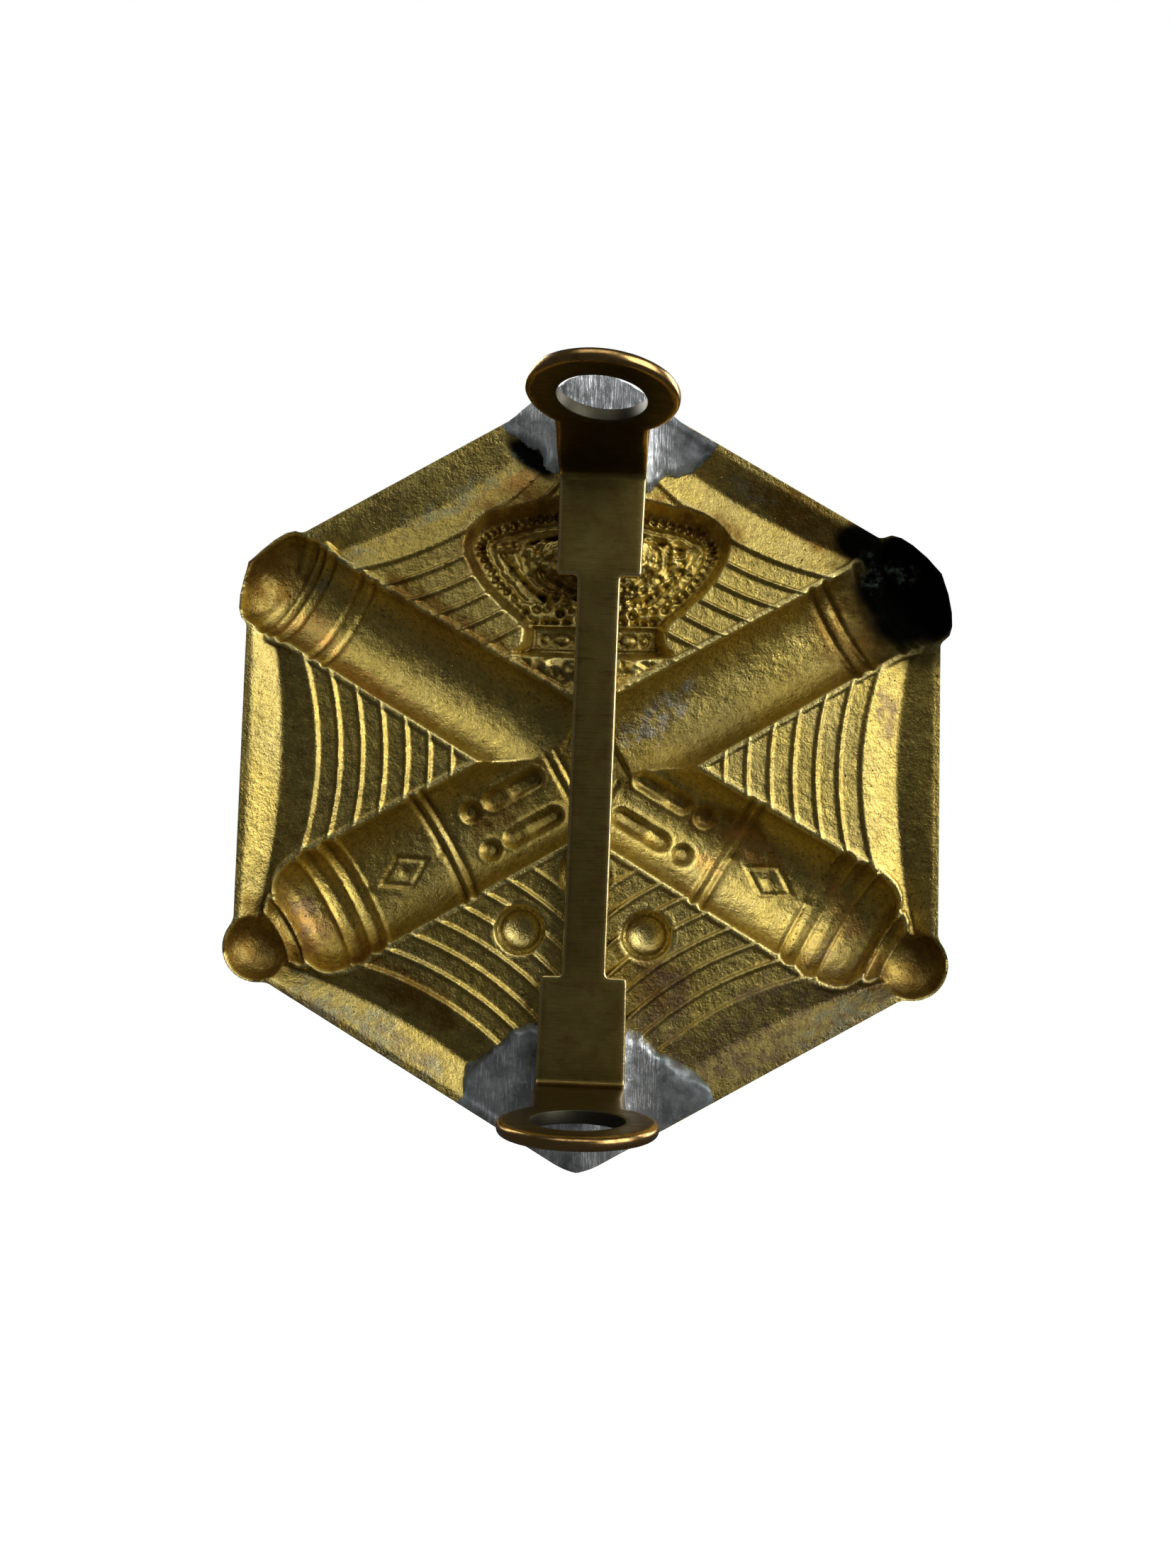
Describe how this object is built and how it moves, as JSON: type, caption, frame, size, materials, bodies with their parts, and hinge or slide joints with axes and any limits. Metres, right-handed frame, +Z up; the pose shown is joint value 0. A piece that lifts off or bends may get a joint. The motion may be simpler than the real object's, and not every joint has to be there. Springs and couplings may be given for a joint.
{
  "type": "cap badge",
  "caption": "Hexagonal die-struck brass cap badge with crossed cannon and a crown, and a soldered back strap with a loop at each end.",
  "frame": {"origin": "centre of the hexagonal rim, in the plane of the rim's back edge", "axes": "+Z up as worn, towards the crown; +Y from the hollow back to the raised front; +X to the right seen from the back"},
  "size_m": [0.0465, 0.0198, 0.052],
  "materials": {
    "struck_brass": "grainy die-struck brass, tarnished olive and brown",
    "strap_brass": "brushed strip brass, dark brown tarnish with polished edges",
    "solder": "dull grey soft solder, scraped bright in places"
  },
  "bodies": {
    "root": {"badge_shell": "struck_brass", "fixing_strap": "strap_brass", "solder_top": "solder", "solder_bottom": "solder"}
  },
  "joints": []
}
